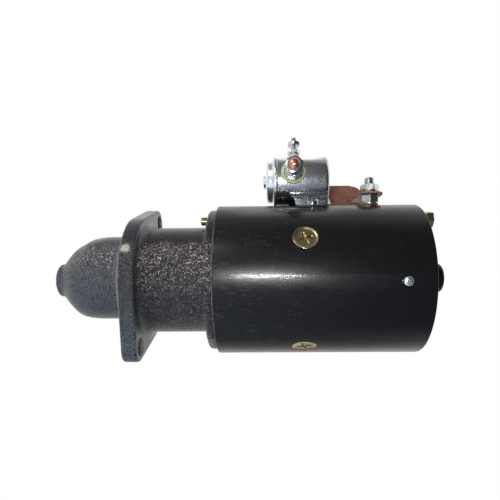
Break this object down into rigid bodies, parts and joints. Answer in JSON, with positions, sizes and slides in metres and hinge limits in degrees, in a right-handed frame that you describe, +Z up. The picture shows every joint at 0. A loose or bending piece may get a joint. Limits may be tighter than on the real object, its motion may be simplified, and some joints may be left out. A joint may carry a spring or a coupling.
{
  "type": "starter motor",
  "caption": "Inertia-drive starter motor: round field frame, cast nose housing with a two-ear flange, magnetic switch on top, and armature, brushes and sliding pinion inside.",
  "frame": {"origin": "on the shaft's axis, at the centre of the flange's mounting face", "axes": "+X along the shaft towards the commutator end, +Z up with the switch on top, -Y towards the front"},
  "size_m": [0.2987, 0.1182, 0.1775],
  "materials": {
    "black_enamel": "gloss black paint on steel",
    "cast_black": "rough cast iron with thin black paint",
    "iron": "bare electrical iron",
    "steel": "ground steel",
    "spring_steel": "dark tempered spring steel",
    "zinc": "bright zinc plate",
    "bright_zinc": "bright blue-white zinc plate",
    "yellow_zinc": "yellow passivated zinc plate",
    "bronze": "sintered bronze",
    "wrapped_copper": "varnished cotton tape over copper strip",
    "winding_copper": "varnished copper conductor",
    "commutator_copper": "turned copper",
    "stud_copper": "copper",
    "dull_copper": "dull oxidised copper",
    "green_fibre": "yellow-green insulating fibre",
    "fibre": "dark red-brown insulating fibre",
    "natural_plastic": "moulded natural nylon",
    "brush_carbon": "pressed copper-carbon"
  },
  "bodies": {
    "frame": {"field_frame": "black_enamel", "pole_shoes": "iron", "pole_screws": "yellow_zinc", "field_coils": "wrapped_copper", "drive_housing": "cast_black", "nose_bushing": "bronze", "commutator_end_frame": "black_enamel", "end_bushing": "bronze", "thrust_washers": "fibre", "through_bolts": "yellow_zinc", "lock_washers": "zinc", "brush_supports": "zinc", "brush_pivot_pins": "steel", "brush_springs": "spring_steel", "support_screws": "zinc", "field_terminal": "zinc", "terminal_insulators": "fibre", "terminal_nuts": "zinc", "terminal_washers": "zinc", "copper_strap": "dull_copper", "switch_case": "bright_zinc", "switch_cap": "bright_zinc", "switch_bracket": "bright_zinc", "bracket_screws": "zinc", "battery_stud": "stud_copper", "motor_stud": "stud_copper", "stud_insulators": "green_fibre", "stud_nuts": "zinc", "stud_washers": "zinc", "small_terminal": "zinc", "small_insulator": "natural_plastic", "small_nuts": "zinc", "switch_spool": "natural_plastic", "switch_coil": "winding_copper", "switch_core": "iron", "plunger_spring": "spring_steel"},
    "armature": {"armature_shaft": "steel", "armature_core": "iron", "armature_winding": "winding_copper", "commutator": "commutator_copper", "drive_head": "steel", "anchor_screws": "zinc", "drive_spring": "spring_steel", "screw_sleeve": "steel", "stop_nut": "steel"},
    "drive_nut": {"control_nut": "bronze"},
    "drive_pinion": {"pinion": "steel", "drive_barrel": "steel"},
    "plunger": {"switch_plunger": "steel", "contact_disc": "commutator_copper"},
    "brush_lever_1": {"brush_arm_1": "zinc", "brush_1": "brush_carbon"},
    "brush_lever_2": {"brush_arm_2": "zinc", "brush_2": "brush_carbon"},
    "brush_lever_3": {"brush_arm_3": "zinc", "brush_3": "brush_carbon"},
    "brush_lever_4": {"brush_arm_4": "zinc", "brush_4": "brush_carbon"}
  },
  "joints": [
    {"name": "armature_spin", "type": "hinge", "parent": "frame", "child": "armature", "pos_m": [0, 0, 0], "axis": [1, 0, 0], "continuous": true},
    {"name": "drive_advance", "type": "slide", "parent": "armature", "child": "drive_nut", "axis": [-1, 0, 0], "range_m": [0, 0.019]},
    {"name": "pinion_turn", "type": "hinge", "parent": "drive_nut", "child": "drive_pinion", "pos_m": [0, 0, 0], "axis": [1, 0, 0], "range_deg": [0, 181]},
    {"name": "plunger_pull", "type": "slide", "parent": "frame", "child": "plunger", "axis": [1, 0, 0], "range_m": [0, 0.0024], "stiffness_N_per_m": 800, "springref_m": -0.005, "deforming": ["plunger_spring"]},
    {"name": "brush_lift_1", "type": "hinge", "parent": "frame", "child": "brush_lever_1", "pos_m": [0.195, -0.04397, -0.00154], "axis": [1, 0, 0], "range_deg": [0, 12], "stiffness_Nm_per_rad": 0.15, "springref_deg": -57.3},
    {"name": "brush_lift_2", "type": "hinge", "parent": "frame", "child": "brush_lever_2", "pos_m": [0.195, 0.04397, 0.00154], "axis": [-1, 0, 0], "range_deg": [0, 12], "stiffness_Nm_per_rad": 0.15, "springref_deg": -57.3},
    {"name": "brush_lift_3", "type": "hinge", "parent": "frame", "child": "brush_lever_3", "pos_m": [0.195, 0.04397, 0.00154], "axis": [1, 0, 0], "range_deg": [0, 12], "stiffness_Nm_per_rad": 0.15, "springref_deg": -57.3},
    {"name": "brush_lift_4", "type": "hinge", "parent": "frame", "child": "brush_lever_4", "pos_m": [0.195, -0.04397, -0.00154], "axis": [-1, 0, 0], "range_deg": [0, 12], "stiffness_Nm_per_rad": 0.15, "springref_deg": -57.3}
  ],
  "couplings": [
    {"joint": "pinion_turn", "follows": "drive_advance", "rad_per_m": 165.35}
  ]
}
